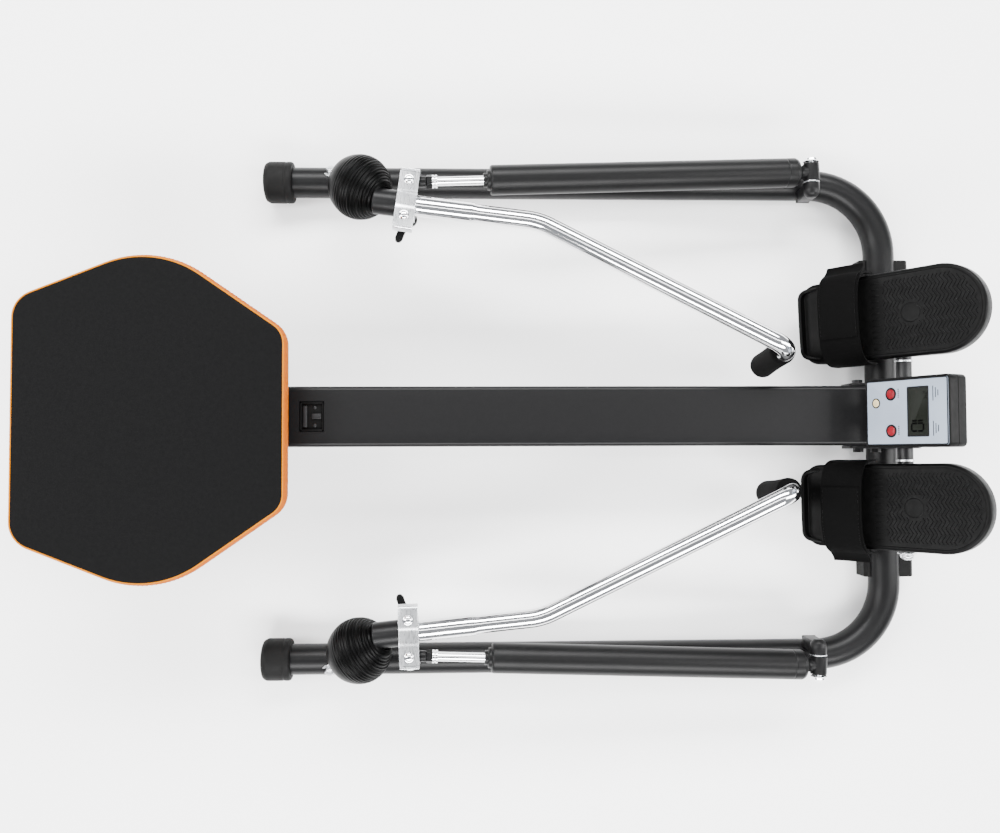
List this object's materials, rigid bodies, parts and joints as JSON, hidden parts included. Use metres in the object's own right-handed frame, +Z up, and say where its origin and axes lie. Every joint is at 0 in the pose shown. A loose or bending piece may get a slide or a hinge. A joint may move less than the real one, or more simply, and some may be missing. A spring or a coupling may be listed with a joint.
{
  "type": "rowing machine",
  "caption": "Low two-arm rowing machine: seat rolling on a central rail, U-shaped floor tube, jointed handle arms on hydraulic cylinders, swivelling strapped pedals and a stroke counter.",
  "frame": {"origin": "on the floor, under the centre of the machine's bounding box", "axes": "+X from the seat end to the pedals and counter, +Y to the rower's left when facing the pedals is +X, +Z up"},
  "size_m": [1.218, 0.726, 0.2851],
  "materials": {
    "black_paint": "satin",
    "barrel_paint": "satin",
    "chrome": "polished",
    "zinc": "satin",
    "rubber": "matte",
    "foam": "matte",
    "black_plastic": "satin",
    "nylon": "satin",
    "seat_vinyl": "matte",
    "webbing": "matte",
    "silver_face": "satin",
    "display": "gloss",
    "red_button": "satin"
  },
  "bodies": {
    "frame": {"frame_tube": "black_paint", "end_cap_left": "rubber", "end_cap_right": "rubber", "front_foot_left": "rubber", "front_foot_right": "rubber", "rear_leg": "black_paint", "rear_cap_left": "rubber", "rear_cap_right": "rubber", "rail": "black_paint", "rail_rear_cap": "black_plastic", "stroke_sensor": "black_plastic", "rear_stop": "rubber", "front_stop": "rubber", "front_bracket": "black_paint", "pedal_axle": "zinc", "axle_nut_left": "zinc", "axle_nut_right": "zinc", "console_stalk": "black_paint", "console_housing": "black_plastic", "console_face": "silver_face", "lcd_window": "display", "sensor_window": "silver_face", "battery_cover": "black_plastic", "joint_stud_left": "black_paint", "joint_stud_right": "black_paint", "boot_left": "rubber", "boot_right": "rubber", "front_post_left": "black_paint", "front_post_right": "black_paint"},
    "seat": {"seat_cushion": "seat_vinyl", "seat_board": "black_plastic", "seat_carriage": "black_paint"},
    "rear_wheels": {"rear_roller": "nylon"},
    "front_wheels": {"front_roller": "nylon"},
    "lower_wheel": {"lower_roller": "nylon"},
    "button_l": {"button_left": "red_button"},
    "button_r": {"button_right": "red_button"},
    "pedal_l": {"pedal_left": "black_plastic", "strap_left": "webbing"},
    "knuckle_l": {"knuckle_left": "zinc"},
    "arm_l": {"arm_root_left": "black_paint", "arm_clamp_left": "zinc"},
    "lever_l": {"clamp_lever_left": "black_plastic"},
    "handle_l": {"arm_tube_left": "chrome", "grip_left": "foam"},
    "bush_l": {"cylinder_bush_left": "rubber"},
    "barrel_l": {"cylinder_barrel_left": "barrel_paint"},
    "rod_l": {"cylinder_rod_left": "chrome"},
    "pedal_r": {"pedal_right": "black_plastic", "strap_right": "webbing"},
    "knuckle_r": {"knuckle_right": "zinc"},
    "arm_r": {"arm_root_right": "black_paint", "arm_clamp_right": "zinc"},
    "lever_r": {"clamp_lever_right": "black_plastic"},
    "handle_r": {"arm_tube_right": "chrome", "grip_right": "foam"},
    "bush_r": {"cylinder_bush_right": "rubber"},
    "barrel_r": {"cylinder_barrel_right": "barrel_paint"},
    "rod_r": {"cylinder_rod_right": "chrome"}
  },
  "joints": [
    {"name": "seat_slide", "type": "slide", "parent": "frame", "child": "seat", "axis": [1, 0, 0], "range_m": [0, 0.5]},
    {"name": "rear_roller_spin", "type": "hinge", "parent": "seat", "child": "rear_wheels", "pos_m": [-0.511, 0, 0.1333], "axis": [0, 1, 0], "range_deg": [0, 1911]},
    {"name": "front_roller_spin", "type": "hinge", "parent": "seat", "child": "front_wheels", "pos_m": [-0.381, 0, 0.1333], "axis": [0, 1, 0], "range_deg": [0, 1911]},
    {"name": "lower_roller_spin", "type": "hinge", "parent": "seat", "child": "lower_wheel", "pos_m": [-0.376, 0, 0.0637], "axis": [0, -1, 0], "range_deg": [0, 3185]},
    {"name": "button_left_press", "type": "slide", "parent": "frame", "child": "button_l", "axis": [0.8973, 0, -0.4415], "range_m": [0, 0.0012], "stiffness_N_per_m": 300, "springref_m": -0.001},
    {"name": "button_right_press", "type": "slide", "parent": "frame", "child": "button_r", "axis": [0.8973, 0, -0.4415], "range_m": [0, 0.0012], "stiffness_N_per_m": 300, "springref_m": -0.001},
    {"name": "pedal_left_tilt", "type": "hinge", "parent": "frame", "child": "pedal_l", "pos_m": [0.535, 0.128, 0.12], "axis": [0, 1, 0], "range_deg": [-25, 5]},
    {"name": "arm_left_lift", "type": "hinge", "parent": "frame", "child": "knuckle_l", "pos_m": [-0.194, 0.309, 0.102], "axis": [0, -1, 0], "range_deg": [0, 100], "deforming": ["boot_left"]},
    {"name": "arm_left_swing", "type": "hinge", "parent": "knuckle_l", "child": "arm_l", "pos_m": [-0.194, 0.309, 0.102], "axis": [0, 0, 1], "range_deg": [0, 8], "deforming": ["boot_left"]},
    {"name": "cylinder_left_yaw", "type": "hinge", "parent": "frame", "child": "bush_l", "pos_m": [0.426, 0.338, 0.084], "axis": [0, 0, -1], "range_deg": [0, 0.992]},
    {"name": "cylinder_left_tilt", "type": "hinge", "parent": "bush_l", "child": "barrel_l", "pos_m": [0.426, 0.338, 0.084], "axis": [-0.0487, 0.9988, 0], "range_deg": [0, 3.46]},
    {"name": "cylinder_left_stroke", "type": "slide", "parent": "barrel_l", "child": "rod_l", "axis": [-0.9967, -0.0486, 0.065], "range_m": [0, 0.10151]},
    {"name": "handle_left_roll", "type": "hinge", "parent": "arm_l", "child": "handle_l", "pos_m": [-0.12618, 0.27909, 0.125], "axis": [-0.9847, 0.144, -0.0986], "range_deg": [0, 90]},
    {"name": "lever_left_turn", "type": "hinge", "parent": "arm_l", "child": "lever_l", "pos_m": [-0.12627, 0.26459, 0.1037], "axis": [0, 0, 1], "range_deg": [0, 90]},
    {"name": "pedal_right_tilt", "type": "hinge", "parent": "frame", "child": "pedal_r", "pos_m": [0.535, -0.128, 0.12], "axis": [0, 1, 0], "range_deg": [-25, 5]},
    {"name": "arm_right_lift", "type": "hinge", "parent": "frame", "child": "knuckle_r", "pos_m": [-0.194, -0.309, 0.102], "axis": [0, -1, 0], "range_deg": [0, 100], "deforming": ["boot_right"]},
    {"name": "arm_right_swing", "type": "hinge", "parent": "knuckle_r", "child": "arm_r", "pos_m": [-0.194, -0.309, 0.102], "axis": [0, 0, -1], "range_deg": [0, 8], "deforming": ["boot_right"]},
    {"name": "cylinder_right_yaw", "type": "hinge", "parent": "frame", "child": "bush_r", "pos_m": [0.426, -0.338, 0.084], "axis": [0, 0, 1], "range_deg": [0, 0.989]},
    {"name": "cylinder_right_tilt", "type": "hinge", "parent": "bush_r", "child": "barrel_r", "pos_m": [0.426, -0.338, 0.084], "axis": [0.0454, 0.999, 0], "range_deg": [0, 3.45]},
    {"name": "cylinder_right_stroke", "type": "slide", "parent": "barrel_r", "child": "rod_r", "axis": [-0.9969, 0.0453, 0.065], "range_m": [0, 0.10142]},
    {"name": "handle_right_roll", "type": "hinge", "parent": "arm_r", "child": "handle_r", "pos_m": [-0.1254, -0.28093, 0.125], "axis": [0.9882, 0.1173, 0.0986], "range_deg": [0, 90]},
    {"name": "lever_right_turn", "type": "hinge", "parent": "arm_r", "child": "lever_r", "pos_m": [-0.12509, -0.26643, 0.1037], "axis": [0, 0, -1], "range_deg": [0, 90]}
  ],
  "couplings": [
    {"joint": "rear_roller_spin", "follows": "seat_slide", "rad_per_m": 66.667},
    {"joint": "front_roller_spin", "follows": "seat_slide", "rad_per_m": 66.667},
    {"joint": "lower_roller_spin", "follows": "seat_slide", "rad_per_m": 111.11},
    {"joint": "cylinder_left_yaw", "follows": "arm_left_swing", "ratio": 0.12274},
    {"joint": "cylinder_left_tilt", "follows": "arm_left_lift", "ratio": 0.034494},
    {"joint": "cylinder_left_stroke", "follows": "arm_left_lift", "m_per_rad": 0.058106},
    {"joint": "cylinder_right_yaw", "follows": "arm_right_swing", "ratio": 0.12243},
    {"joint": "cylinder_right_tilt", "follows": "arm_right_lift", "ratio": 0.034434},
    {"joint": "cylinder_right_stroke", "follows": "arm_right_lift", "m_per_rad": 0.058054}
  ]
}
